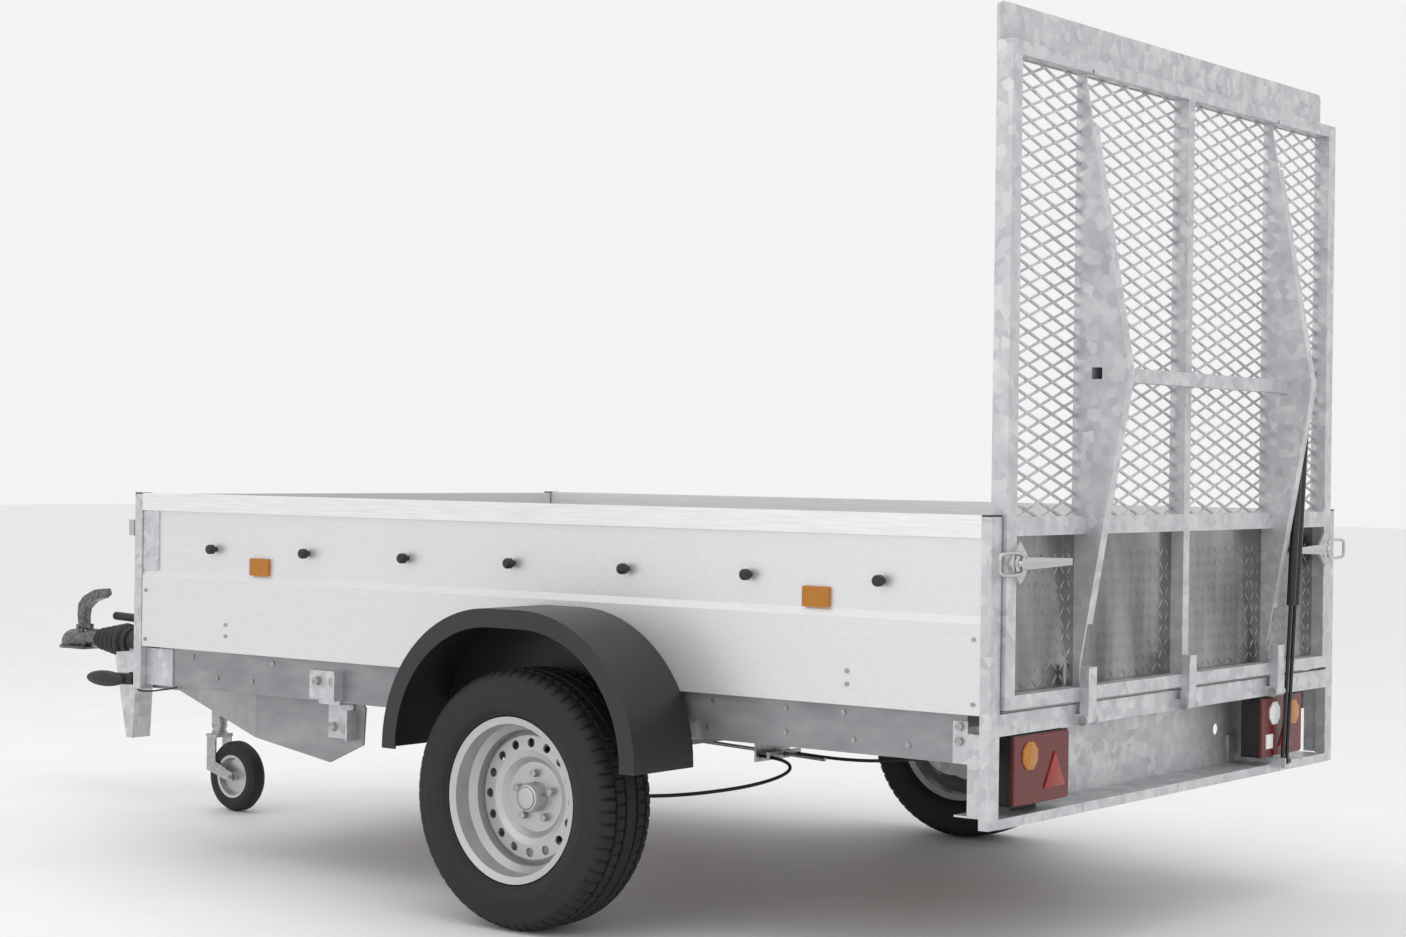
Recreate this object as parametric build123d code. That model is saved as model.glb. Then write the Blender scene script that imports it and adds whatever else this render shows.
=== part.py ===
from build123d import *
from math import atan2, cos, degrees, hypot, pi, sin, tan, radians
import os

os.makedirs("parts", exist_ok=True)

# ---------------------------------------------------------------- driving dimensions, millimetres
# Stations along X are measured forward from the rear face of the rear corner posts, Y is left of
# the centre line, Z is up from the ground. The whole trailer is shifted along X when it is saved,
# so that the origin lies on the ground under the middle of its overall length.
NOSE_X = 4210.0            # front tip of the ball coupling
WEB_APEX_X = -109.0        # rearmost point, the knee of the ramp's stiffener webs
ORIGIN_X = (NOSE_X + WEB_APEX_X) / 2

HALF_WIDTH = 860.0         # outer face of the corner posts and the top rails
BODY_FRONT = 2780.0        # front face of the front corner posts
WALL_TOP = 995.0
RAIL_BOTTOM = 947.0        # lower edge of the top rail
STEP_TOP = 782.0           # the side panel steps outwards between these two heights
STEP_BOTTOM = 765.0
WALL_BOTTOM = 572.0
SKIN = 2.5

FRAME_OUTER = 835.0        # outer face of the side rails
FRAME_BOTTOM = 465.0
FRAME_TOP = WALL_BOTTOM
FRAME_FLANGE = 50.0
FRAME_REAR = 70.0
FRAME_FRONT = 2700.0

AXLE_X = 1191.0            # wheel centre
WHEEL_R = 306.0            # 185/70 R14 tyre
TYRE_WIDTH = 186.0
WHEEL_Y = 966.0            # middle plane of the tyre
RIM_SEAT_R = 178.0
RIM_FLANGE_R = 195.0
RIM_HALF = 78.0
BOLT_CIRCLE_R = 56.0
DRUM_R = 114.0
HUB_R = 33.0

SUSPENSION_X = 1350.0      # axle tube
SUSPENSION_Z = 395.0

HINGE_X = -21.0            # ramp hinge axis
HINGE_Z = 540.0
ARM_HALF = 18.0            # half the width of a hinge arm
RAMP_BACK = -10.0          # rear face of the ramp's tubes
RAMP_FRONT = 30.0
RAMP_HALF = 816.0
RAMP_TOP = 2004.0
RAMP_BOTTOM = 582.0
TUBE = 40.0
WEB_Y = 473.0
WEB_APEX_Z = 1308.0
LIP_TOP = 2090.0

STRUT_TOP = (-60.0, 1246.0)     # x and z of the gas struts' upper and lower eyes
STRUT_FOOT = (-21.0, 358.0)
STRUT_YS = (-518.0, -543.0)
STRUT_TUBE_END = 490.0          # distance from the upper eye to the open end of the tube

DRAWBAR_BEND = (2345.0, 800.0)  # x and y where the drawbar beams turn inwards
DRAWBAR_NOSE = (3540.0, 64.0)   # and where they turn straight again
DRAWBAR_SHEET = 5.0
COUPLING_Z = 483.0         # axis of the overrun shaft
JOCKEY_X = 3262.0
JOCKEY_Y = 135.0
JOCKEY_TRAIL = 86.0
JOCKEY_R = 108.0


# ---------------------------------------------------------------- helpers
def block(x, y, z):
    """A box between two stations on each axis."""
    middle = Pos((x[0] + x[1]) / 2, (y[0] + y[1]) / 2, (z[0] + z[1]) / 2)
    return middle * Box(abs(x[1] - x[0]), abs(y[1] - y[0]), abs(z[1] - z[0]))


def rod_x(x, y, z, r):
    return Pos((x[0] + x[1]) / 2, y, z) * Rot(0, 90, 0) * Cylinder(r, abs(x[1] - x[0]))


def rod_y(x, y, z, r):
    return Pos(x, (y[0] + y[1]) / 2, z) * Rot(90, 0, 0) * Cylinder(r, abs(y[1] - y[0]))


def rod_z(x, y, z, r):
    return Pos(x, y, (z[0] + z[1]) / 2) * Cylinder(r, abs(z[1] - z[0]))


def plate_xz(points, y):
    """A flat plate cut to an outline in X and Z, between two stations in Y."""
    outline = Polyline(*[(px, y[0], pz) for px, pz in points], close=True)
    return extrude(make_face(outline), amount=abs(y[1] - y[0]), dir=(0, 1 if y[1] > y[0] else -1, 0))


def bar_x(points, x):
    """A profile drawn in Y and Z, run between two stations in X."""
    outline = Polyline(*[(x[0], py, pz) for py, pz in points], close=True)
    return extrude(make_face(outline), amount=abs(x[1] - x[0]), dir=(1, 0, 0))


def bar_y(points, y):
    """A profile drawn in X and Z, run between two stations in Y."""
    return plate_xz(points, y)


def revolve_y(points, x, z):
    """A profile of (radius, y) points turned about a line along Y through (x, z)."""
    outline = Polyline(*[(r, y, 0) for r, y in points], close=True)
    return Pos(x, 0, z) * revolve(make_face(outline), Axis.Y, 360)


def right_side(solid):
    return mirror(solid, about=Plane.XZ)


def both_sides(solids):
    return solids + [right_side(s) for s in solids]


def hollow_tube_z(x, y, z, wall):
    inner = block((x[0] + wall, x[1] - wall), (y[0] + wall, y[1] - wall), z)
    return block(x, y, z) - inner


def hex_head(x, y, z, across, depth):
    """A hexagon bolt head on a face that looks along Y; depth is signed."""
    prism = extrude(RegularPolygon(across / 2, 6, major_radius=False), amount=abs(depth))
    turn = Rot(-90, 0, 0) if depth > 0 else Rot(90, 0, 0)
    return Pos(x, y, z) * turn * prism


def save(name, solids):
    solids = solids if isinstance(solids, list) else [solids]
    flat = [s for item in solids for s in item.solids()]
    placed = [Pos(-ORIGIN_X, 0, 0) * s for s in flat]
    export_step(placed[0] if len(placed) == 1 else Compound(children=placed), f"parts/{name}.step")


# ---------------------------------------------------------------- chassis frame
def side_rail():
    """Folded C rail, open towards the middle of the trailer."""
    t = 3.0
    web = block((FRAME_REAR, FRAME_FRONT), (FRAME_OUTER - t, FRAME_OUTER), (FRAME_BOTTOM, FRAME_TOP))
    low = block((FRAME_REAR, FRAME_FRONT), (FRAME_OUTER - FRAME_FLANGE, FRAME_OUTER),
                (FRAME_BOTTOM, FRAME_BOTTOM + t))
    return web + low + Pos(0, 0, FRAME_TOP - FRAME_BOTTOM - t) * low


def cross_member(x):
    """C member between the rails, open to the front."""
    end = FRAME_OUTER - FRAME_FLANGE
    t = 3.0
    web = block((x, x + t), (-end, end), (498, FRAME_TOP))
    low = block((x, x + 45), (-end, end), (498, 498 + t))
    return web + low + block((x, x + 45), (-end, end), (FRAME_TOP - t, FRAME_TOP))


def drawbar_beam():
    """Folded plate: a deep tail under the side rail, a slanted run and a short straight nose."""
    t = DRAWBAR_SHEET
    bend_x, bend_y = DRAWBAR_BEND
    nose_x, nose_y = DRAWBAR_NOSE
    nose_end = 3790.0
    low_z, high_z = 345.0, FRAME_BOTTOM
    tail = plate_xz([(1925, 452), (1932, 356), (2055, 302), (bend_x, low_z), (bend_x, high_z),
                     (1937, high_z)], (bend_y - t, bend_y))
    run = hypot(nose_x - bend_x, nose_y - bend_y)
    slant = degrees(atan2(nose_y - bend_y, nose_x - bend_x))
    web = block((0, run), (-t, 0), (low_z, high_z))
    flange = block((60, run - 20), (-30, 0), (low_z, low_z + t))
    lid = Pos(0, 0, high_z - low_z - t) * flange
    run_part = Pos(bend_x, bend_y, 0) * Rot(0, 0, slant) * (web + flange + lid)
    nose = block((nose_x - 3, nose_end), (nose_y - t, nose_y), (low_z, high_z))
    return tail + run_part + nose


def rail_bracket():
    """Bent plate that ties the drawbar's tail to the rail, with stiffening edges."""
    rail_leaf = block((1978, 2092), (FRAME_OUTER, FRAME_OUTER + 6), (470, 545))
    beam_leaf = block((1964, 2056), (800, 806), (368, FRAME_BOTTOM - 6))
    shelf = block((1978, 2056), (800, FRAME_OUTER + 6), (FRAME_BOTTOM - 6, FRAME_BOTTOM))
    step = block((1978, 2056), (FRAME_OUTER, FRAME_OUTER + 6), (FRAME_BOTTOM - 6, 472))
    upper_edge = block((1972, 1978), (FRAME_OUTER, FRAME_OUTER + 32), (470, 548))
    lower_edge = block((1958, 1964), (800, 834), (366, 446))
    return rail_leaf + beam_leaf + shelf + step + upper_edge + lower_edge


def front_corner_plate():
    """Folded plate that closes the rail's front end against the front post."""
    face = block((FRAME_FRONT - 60, BODY_FRONT - 31), (FRAME_OUTER, FRAME_OUTER + 4), (FRAME_BOTTOM, FRAME_TOP - 6))
    foot = block((FRAME_FRONT + 20, BODY_FRONT - 31), (FRAME_OUTER - 60, FRAME_OUTER), (FRAME_BOTTOM, FRAME_BOTTOM + 4))
    return face + foot


def panel_striker():
    """Recessed plate behind the front post that the front board's latch pulls against."""
    return block((2684, BODY_FRONT - 31), (852, 856), (STEP_TOP + 2, RAIL_BOTTOM - 1))


def chock_holder():
    """Hook plate on the drawbar nose that the chock hangs on."""
    back = block((3668, 3738), (64, 70), (395, 458))
    return back + block((3680, 3726), (70, 78), (440, 458))


def rail_end_plate():
    """End plate that bolts the side rail to the rear post."""
    flat = block((FRAME_REAR - 3, FRAME_REAR + 34), (FRAME_OUTER, FRAME_OUTER + 4), (FRAME_BOTTOM, 556))
    tab = block((26, FRAME_REAR - 3), (FRAME_OUTER, FRAME_OUTER + 4), (353, 530))
    return flat + tab + block((25, 29), (822, FRAME_OUTER), (353, 530))


def front_hinge_leaf(y):
    """Fixed leaf and pin of one hinge under the front board."""
    pin = rod_y(BODY_FRONT + 5, (y - 34, y + 34), 584, 4)
    leaf = block((BODY_FRONT - 30, BODY_FRONT + 5), (y - 34, y - 21), (578, 590))
    leaf += block((BODY_FRONT - 30, BODY_FRONT + 5), (y + 21, y + 34), (578, 590))
    return leaf + pin + block((BODY_FRONT - 35, BODY_FRONT - 30), (y - 34, y + 34), (530, 590))


# ---------------------------------------------------------------- body
def side_panel():
    """Folded aluminium skin with an outward step and a return flange on the rail."""
    upper, lower = 852.0, 858.0
    outline = [(upper, RAIL_BOTTOM), (upper, STEP_TOP), (lower, STEP_BOTTOM), (lower, WALL_BOTTOM),
               (800, WALL_BOTTOM), (800, WALL_BOTTOM + SKIN), (lower - SKIN, WALL_BOTTOM + SKIN),
               (lower - SKIN, STEP_BOTTOM), (upper - SKIN, STEP_TOP), (upper - SKIN, RAIL_BOTTOM)]
    return bar_x(outline, (26, BODY_FRONT - 31))


def top_rail():
    """Hollow extrusion along the top of the side, standing proud of the panel."""
    y = (HALF_WIDTH - 32, HALF_WIDTH)
    z = (RAIL_BOTTOM, WALL_TOP)
    x = (25.5, BODY_FRONT - 30.5)
    core = block(x, (y[0] + 2.5, y[1] - 2.5), (z[0] + 2.5, z[1] - 2.5))
    return block(x, y, z) - core


def tarp_knob(x):
    y = 852.0
    stem = rod_y(x, (y, y + 14), 848, 7)
    head = rod_y(x, (y + 12, y + 30), 848, 13)
    return stem + fillet(head.edges().sort_by(Axis.Y)[-1], 7)


def side_reflector(x):
    plate = block((x - 36, x + 36), (852, 861), (783, 829))
    return fillet(plate.edges().filter_by(Axis.Y), 4)


def front_board():
    """Hinged board between the front posts, with a top rail and two hinge knuckles."""
    y = 822.0
    sheet = block((2752, 2758), (-y, y), (594, 947))
    rail = block((2752, BODY_FRONT - 2), (-y, y), (947, 992))
    foot = block((2752, BODY_FRONT - 2), (-y, y), (592, 606))
    ends = block((2752, BODY_FRONT - 2), (y - 30, y), (594, 992))
    board = sheet + rail + foot + ends + right_side(ends)
    for side in (-560, 560):
        knuckle = rod_y(BODY_FRONT + 5, (side - 20, side + 20), 584, 8)
        strap = block((BODY_FRONT - 5, BODY_FRONT + 3), (side - 20, side + 20), (584, 640))
        board += knuckle + strap
        board -= rod_y(BODY_FRONT + 5, (side - 21, side + 21), 584, 4.05)
    return board


def front_latch():
    """Lever latch on the end of the front board that hooks over the front post."""
    base = rod_z(2790, 792, (876, 918), 7)
    arm = block((2786, 2794), (792, 852), (884, 910))
    hook = block((2786, 2808), (846, 858), (876, 920))
    return base + arm + hook


# ---------------------------------------------------------------- rear end
def hinge_beam():
    """Square tube across the rear with three pairs of ears for the ramp's hinge bolts."""
    y = 819.5
    beam = block((0, 25), (-y, y), (527, 574)) - block((3, 22), (-y, y), (530, 571))
    for arm in (-480, 0, 480):
        for side in (-1, 1):
            near, far = arm + side * (ARM_HALF + 0.4), arm + side * (ARM_HALF + 6)
            ear = block((HINGE_X, 0.5), (near, far), (527.5, 553)) + rod_y(HINGE_X, (near, far), HINGE_Z, 12.5)
            beam += ear
        beam -= rod_y(HINGE_X, (arm - 25, arm + 25), HINGE_Z, 6.05)
    return beam


def light_board_channel():
    """Ledge under the lamps with a lip hanging down at the rear."""
    y = 819.5
    return block((0, 112), (-y, y), (348, 352)) + block((0, 4), (-y, y), (330, 352))


def light_board_plate():
    """Upright plate set forward between the lamps, with an accessory hole."""
    plate = block((107, 111), (-555, 555), (352, FRAME_TOP - 0.5))
    return plate - rod_x((100, 120), -400, 440, 15)


def tail_lamp(y, part):
    """A box lamp with a moulded lens; y is its middle."""
    if part == "housing":
        shell = block((8, 50), (y - 118, y + 118), (372, 524))
        shell = fillet(shell.edges().filter_by(Axis.X), 8)
        arm = block((50, 56), (y - 70, y + 30), (352, 470))
        return shell + arm
    lens = block((-6, 8), (y - 117, y + 117), (373, 523))
    lens = fillet(lens.edges().filter_by(Axis.X), 8)
    return chamfer(lens.faces().sort_by(Axis.X)[0].edges(), 3)


def strut_bracket():
    """Bar that carries the gas struts' lower pivot out from the light board's plate."""
    foot = block((101, 107), (-503, -462), (352.2, 420))
    bar = block((-1, 107), (-503, -497), (352.2, 370)) + block((-38, -0.5), (-503, -497), (344, 370))
    return foot + bar


# ---------------------------------------------------------------- running gear
def mudguard():
    """Moulded arch with a flat crown, straight ends and a skirt on its outer face."""
    crown, foot, half, corner = 752.0, 400.0, 397.0, 345.0
    wall, skirt = 4.0, 44.0

    def arch(inset, y):
        width, height = 2 * (half - inset), crown - inset - foot
        sheet = Pos(AXLE_X, foot + height / 2) * Rectangle(width, height)
        sheet = fillet(sheet.vertices().group_by(Axis.Y)[-1], corner - inset)
        return Pos(0, y[1], 0) * Rot(90, 0, 0) * extrude(sheet, amount=y[1] - y[0])

    y0, y1 = 858.5, 1070.0
    below = block((AXLE_X - 500, AXLE_X + 500), (y0 - 2, y1 + 2), (foot - 10, foot + 0.01))
    window = arch(skirt, (y1 - wall - 1, y1 + 1))
    return arch(0, (y0, y1)) - arch(wall, (y0 - 1, y1 - wall)) - window - below


def axle_tube():
    """Square rubber-sprung axle tube with a bracket under each rail."""
    tube = Pos(SUSPENSION_X, 0, SUSPENSION_Z) * Rot(90, 0, 0) * extrude(
        chamfer(Rectangle(80, 80).vertices(), 16), amount=832, both=True)
    bracket = block((SUSPENSION_X - 90, SUSPENSION_X + 90), (790, 830), (430, FRAME_BOTTOM))
    bore = rod_y(SUSPENSION_X, (700, 840), SUSPENSION_Z, 22.05)
    return tube + bracket + right_side(bracket) - bore - right_side(bore)


def swing_arm():
    """Cast arm from the axle's inner bar to the stub axle, with the brake's back plate."""
    pivot = (SUSPENSION_X, SUSPENSION_Z)
    hub = (AXLE_X, WHEEL_R)
    lean = degrees(atan2(hub[1] - pivot[1], hub[0] - pivot[0]))
    reach = hypot(hub[0] - pivot[0], hub[1] - pivot[1])
    y = (836.0, 862.0)
    boss = rod_y(pivot[0], y, pivot[1], 36) + rod_y(pivot[0], (702, y[0]), pivot[1], 22)
    end = rod_y(hub[0], y, hub[1], 30)
    middle = (y[0] + y[1]) / 2
    bar = Pos(pivot[0], middle, pivot[1]) * Rot(0, -lean, 0) * Pos(reach / 2, 0, 0) * Box(reach, y[1] - y[0], 48)
    back_plate = rod_y(hub[0], (y[1], 870), hub[1], DRUM_R + 4)
    stub = rod_y(hub[0], (870, 930), hub[1], 17)
    return boss + end + bar + back_plate + stub


def brake_drum():
    """Drum and hub in one casting, turning on the stub axle."""
    outline = [(17.05, 873), (30, 873), (30, 936), (DRUM_R - 12, 936), (DRUM_R - 12, 873),
               (DRUM_R, 873), (DRUM_R, 942), (90, 948), (HUB_R, 948), (HUB_R, 982), (26, 990),
               (0, 990), (0, 932), (17.05, 932)]
    drum = revolve_y(outline, AXLE_X, WHEEL_R)
    for k in range(5):
        a = radians(90 + 72 * k)
        drum -= rod_y(AXLE_X + BOLT_CIRCLE_R * cos(a), (930, 950), WHEEL_R + BOLT_CIRCLE_R * sin(a), 6.2)
    return drum


def rim():
    """Pressed steel wheel: barrel with two flanges and a dished disc with round vents."""
    low, high = WHEEL_Y - RIM_HALF, WHEEL_Y + RIM_HALF
    t = 4.0
    barrel = [(RIM_FLANGE_R, low), (RIM_FLANGE_R, low + t), (RIM_SEAT_R + t, low + 10),
              (RIM_SEAT_R, low + 30), (RIM_SEAT_R - 14, low + 46), (RIM_SEAT_R - 14, high - 58),
              (RIM_SEAT_R, high - 44), (RIM_SEAT_R + t, high - 10), (RIM_FLANGE_R, high - t),
              (RIM_FLANGE_R, high), (RIM_SEAT_R, high - 5), (RIM_SEAT_R - t, high - 44),
              (RIM_SEAT_R - 14 - t, high - 60), (RIM_SEAT_R - 14 - t, low + 44),
              (RIM_SEAT_R - t, low + 28), (RIM_SEAT_R, low + 5)]
    disc = [(HUB_R + 0.3, 949), (HUB_R + 0.3, 954), (82, 954), (96, 968), (112, 974), (146, 972),
            (160.5, 958), (160.5, 950), (143, 966), (112, 968), (99, 962), (85, 949)]
    wheel = revolve_y(barrel, AXLE_X, WHEEL_R) + revolve_y(disc, AXLE_X, WHEEL_R)
    vents = 16
    for k in range(vents):
        a = 2 * pi * k / vents
        wheel -= rod_y(AXLE_X + 129 * cos(a), (955, 985), WHEEL_R + 129 * sin(a), 11)
    for k in range(5):
        a = radians(90 + 72 * k)
        wheel -= rod_y(AXLE_X + BOLT_CIRCLE_R * cos(a), (940, 960), WHEEL_R + BOLT_CIRCLE_R * sin(a), 6.4)
    return wheel


def tyre():
    """Radial tyre: square shoulders, bulged walls and an open inside."""
    half = TYRE_WIDTH / 2
    r = WHEEL_R
    seat = RIM_SEAT_R + 4.5
    outer = [(seat, -66), (196, -72), (205, -84), (226, -half + 1), (250, -half), (278, -88), (294, -78),
             (302, -64), (r, -40), (r, 40), (302, 64), (294, 78), (278, 88), (250, half),
             (226, half - 1), (205, 84), (196, 72), (seat, 66)]
    inner = [(seat, 52), (200, 60), (226, 82), (262, 80), (284, 62), (290, 0),
             (284, -62), (262, -80), (226, -82), (200, -60), (seat, -52)]
    return revolve_y([(pr, WHEEL_Y + py) for pr, py in outer + inner], AXLE_X, WHEEL_R)


def wheel_bolts():
    bolts = []
    for k in range(5):
        a = radians(90 + 72 * k)
        x, z = AXLE_X + BOLT_CIRCLE_R * cos(a), WHEEL_R + BOLT_CIRCLE_R * sin(a)
        bolts.append(hex_head(x, 954, z, 17, 14) + rod_y(x, (934, 955), z, 6))
    return bolts


# ---------------------------------------------------------------- brake linkage and cables
def cable(points, radius):
    """A cable laid as straight runs joined by arcs as wide as its runs allow."""
    radii = []
    for a, b, c in zip(points, points[1:], points[2:]):
        first, second = Vector(*b) - Vector(*a), Vector(*c) - Vector(*b)
        turn = radians(first.get_angle(second))
        radii.append(0.45 * min(first.length, second.length) / tan(turn / 2))
    path = FilletPolyline(*points, radius=radii)
    start = Plane(origin=path @ 0, z_dir=path % 0)
    return sweep(start * Circle(radius), path=path)


def brake_cable():
    return cable([(1206, 60, 324), (1150, 60, 322), (1095, 82, 316), (1052, 128, 309), (1025, 188, 303),
                  (1008, 252, 299), (998, 316, 296), (993, 380, 294), (994, 444, 292.5), (1000, 508, 292),
                  (1011, 570, 291.5), (1028, 632, 292), (1050, 692, 294), (1076, 750, 298), (1098, 800, 304),
                  (1110, 860, 308)], 4.5)


def marker_cable():
    return cable([(2785, 842, 455.2), (2783, 842, 447.5), (2765, 843, 445), (2738, 844, 446), (2708, 845, 449),
                  (2678, 844.5, 454), (2648, 843, 458), (2618, 842, 464)], 2.5)


def brake_linkage():
    """Cable abutment on the axle, compensator bar and the long rod from the overrun housing."""
    hanger = block((1195, 1310), (-45, 45), (356, 362)) + block((1206, 1212), (-75, 75), (308, 362))
    for y in (-60, 60):
        hanger -= rod_x((1200, 1216), y, 324, 4.6)
    hanger -= rod_x((1200, 1216), 0, 331, 6.2)
    tail = (1035.0, 322.0)
    front = (3568.0, 426.0)
    run = hypot(front[0] - tail[0], front[1] - tail[1])
    lean = degrees(atan2(front[1] - tail[1], front[0] - tail[0]))
    rod = Pos(tail[0], 0, tail[1]) * Rot(0, -lean, 0) * Pos(run / 2, 0, 0) * Rot(0, 90, 0) * Cylinder(5, run)
    bar = block((1165, 1175), (-70, 70), (318, 336)) - rod_x((1160, 1180), 0, 327.5, 7)
    for y in (-60, 60):
        bar -= rod_x((1160, 1180), y, 322.5, 5.6)
    return [hanger, rod, bar]


# ---------------------------------------------------------------- coupling and overrun device
def overrun_housing():
    """Cast housing bolted between the drawbar noses, guiding the overrun shaft."""
    barrel = rod_x((3590, 3862), 0, COUPLING_Z, 38)
    collar = rod_x((3846, 3870), 0, COUPLING_Z, 46)
    cheeks = block((3570, 3800), (-58.5, 58.5), (380, 452))
    lug = block((3600, 3660), (-58, -38), (452, 528)) - rod_y(3630, (-60, -36), 506, 8.05)
    return barrel + collar + cheeks + lug - rod_x((3560, 3880), 0, COUPLING_Z, 25.05)


def bellows():
    """Rubber gaiter with folds, between the housing's collar and the coupling."""
    start, end, folds = 3872.0, 4014.0, 5
    pitch = (end - start) / folds
    outline = [(28, start)]
    for k in range(folds):
        crest = 58 - 5 * k
        x = start + k * pitch
        outline += [(crest - 16, x), (crest, x + pitch * 0.35), (crest, x + pitch * 0.65), (crest - 16, x + pitch)]
        if k < folds - 1:
            outline[-1] = (crest - 20, x + pitch - 2)
    outline.append((28, end))
    face = make_face(Polyline(*[(x, r, 0) for r, x in outline], close=True))
    return Pos(0, 0, COUPLING_Z) * revolve(face, Axis.X, 360)


def drawbar_tube():
    outer = rod_x((3640, 4072), 0, COUPLING_Z, 25)
    return outer - rod_x((3640, 4072), 0, COUPLING_Z, 20)


def coupling_head():
    """Pressed head: sleeve, tapering body and a domed cup over the ball."""
    ball_x, ball_z, ball_r = 4158.0, 462.0, 25.2
    sleeve = rod_x((4016, 4074), 0, COUPLING_Z, 32)
    rear = Plane(origin=(4064, 0, 480), z_dir=(1, 0, 0)) * RectangleRounded(50, 62, 14)
    front = Plane(origin=(4150, 0, 476), z_dir=(1, 0, 0)) * RectangleRounded(54, 84, 20)
    body = loft([rear, front])
    cup = Pos(ball_x, 0, ball_z + 4) * Sphere(43)
    keep = block((4000, NOSE_X), (-60, 60), (447, 520))
    skirt = rod_z(ball_x, 0, (447, 456), 50) + block((4052, ball_x), (-46, 46), (447, 455))
    nose = block((ball_x, NOSE_X), (-16, 16), (447, 457))
    head = (sleeve + body + cup + skirt + nose) & keep
    socket = Pos(ball_x, 0, ball_z) * Sphere(ball_r) + rod_z(ball_x, 0, (440, ball_z), ball_r)
    head -= socket
    head -= rod_x((4010, 4072), 0, COUPLING_Z, 25.02)
    hollow = block((4080, 4126), (-34, 34), (440, 468))
    pivot_slot = block((4078, 4126), (-17, 17), (498, 530))
    ears = block((4088, 4120), (17, 24), (480, 528)) + block((4088, 4120), (-24, -17), (480, 528))
    return head - hollow - pivot_slot + ears - rod_y(4104, (-30, 30), 517, 5.05)


def coupling_handle():
    """Raised hand lever, bent back at the grip, on its own cross pin."""
    side = plate_xz([(4090, 508), (4118, 508), (4126, 560), (4122, 596), (4096, 622), (4040, 646),
                     (3990, 652), (3982, 634), (4000, 620), (4052, 606), (4088, 580), (4094, 552)], (-15, 15))
    side = fillet(side.edges().filter_by(Axis.Y), 5)
    return side + rod_y(4104, (-28, 28), 517, 5)


def handbrake_lever():
    """Lever along the top of the bellows with a moulded grip, on a pivot at the housing."""
    y = (-66.0, -58.4)
    pivot = rod_y(3630, (y[0], y[1]), 506, 15)
    pin = rod_y(3630, (y[0], -36), 506, 8)
    arm = plate_xz([(3614, 500), (3640, 492), (3880, 542), (3880, 562), (3640, 524), (3620, 520)], y)
    neck = plate_xz([(3780, 522), (3900, 546), (3900, 562), (3780, 542)], (y[0], -46))
    grip = Pos(3944, -50, 556) * Rot(0, -2, 0) * Rot(0, 90, 0) * Cylinder(14, 130)
    grip = fillet(grip.edges(), 6)
    return pivot + pin + arm + neck + grip


# ---------------------------------------------------------------- jockey wheel and chock
def jockey_clamp():
    """Split clamp on the drawbar's inner face that grips the jockey wheel's tube."""
    ring = rod_z(JOCKEY_X, JOCKEY_Y, (372, 442), 36)
    bore = rod_z(JOCKEY_X, JOCKEY_Y, (370, 444), 24.08)
    slope = (DRAWBAR_NOSE[1] - DRAWBAR_BEND[1]) / (DRAWBAR_NOSE[0] - DRAWBAR_BEND[0])
    inset = DRAWBAR_SHEET * hypot(1, slope) + 0.2

    def beam_face(x):
        return DRAWBAR_BEND[1] + slope * (x - DRAWBAR_BEND[0]) - inset

    low_x, high_x, near_y = JOCKEY_X - 26, JOCKEY_X + 18, JOCKEY_Y + 28
    outline = Polyline((low_x, near_y, 384), (high_x, near_y, 384), (high_x, beam_face(high_x), 384),
                       (low_x, beam_face(low_x), 384), close=True)
    arm = extrude(make_face(outline), amount=46, dir=(0, 0, 1))
    screw = rod_x((JOCKEY_X + 30, JOCKEY_X + 78), JOCKEY_Y - 14, 407, 7) + block(
        (JOCKEY_X + 70, JOCKEY_X + 80), (JOCKEY_Y - 50, JOCKEY_Y + 22), (400, 414))
    return ring + arm + screw - bore


def jockey_tube():
    outer = rod_z(JOCKEY_X, JOCKEY_Y, (252, 548), 24) - rod_z(JOCKEY_X, JOCKEY_Y, (240, 542), 20.5)
    return outer - rod_z(JOCKEY_X, JOCKEY_Y, (540, 550), 6.06)


def jockey_spindle():
    """Inner tube that the screw runs in and out of the outer tube."""
    return rod_z(JOCKEY_X, JOCKEY_Y, (242.4, 480), 20.44) - rod_z(JOCKEY_X, JOCKEY_Y, (262, 490), 12)


def jockey_fork():
    """Swivel fork under the inner tube, trailing back to the wheel's axle."""
    wheel_x = JOCKEY_X - JOCKEY_TRAIL
    boss = rod_z(JOCKEY_X, JOCKEY_Y, (232, 242), 24)
    bridge = block((JOCKEY_X - 24, JOCKEY_X + 24), (JOCKEY_Y - 33, JOCKEY_Y + 33), (224, 234))
    cheek = plate_xz([(wheel_x - 12, 97), (wheel_x + 6, 94), (JOCKEY_X + 20, 122), (JOCKEY_X + 20, 226),
                      (JOCKEY_X - 20, 226), (JOCKEY_X - 20, 150), (wheel_x - 12, 120)],
                     (JOCKEY_Y + 28.5, JOCKEY_Y + 33))
    fork = boss + bridge + cheek + Pos(0, -61.5, 0) * cheek
    return fork + rod_y(wheel_x, (JOCKEY_Y - 37, JOCKEY_Y + 37), JOCKEY_R, 6)


def jockey_crank():
    """Folding crank on top of the tube; its shank reaches the screw inside."""
    z = 552.0
    shank = rod_z(JOCKEY_X, JOCKEY_Y, (500, z + 4), 6)
    arm = block((JOCKEY_X - 8, JOCKEY_X + 8), (JOCKEY_Y - 63, JOCKEY_Y + 8), (z, z + 8))
    knob = rod_z(JOCKEY_X, JOCKEY_Y - 54, (z + 8, z + 26), 8)
    return shank + arm + knob


def jockey_rim():
    x, y = JOCKEY_X - JOCKEY_TRAIL, JOCKEY_Y
    profile = [(6.05, y - 25), (13, y - 25), (13, y - 6), (52, y - 4), (58, y - 22), (66, y - 24),
               (66, y - 20), (60, y - 17), (60, y + 17), (66, y + 20), (66, y + 24), (58, y + 22),
               (52, y + 4), (13, y + 6), (13, y + 25), (6.05, y + 25)]
    return revolve_y(profile, x, JOCKEY_R)


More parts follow.
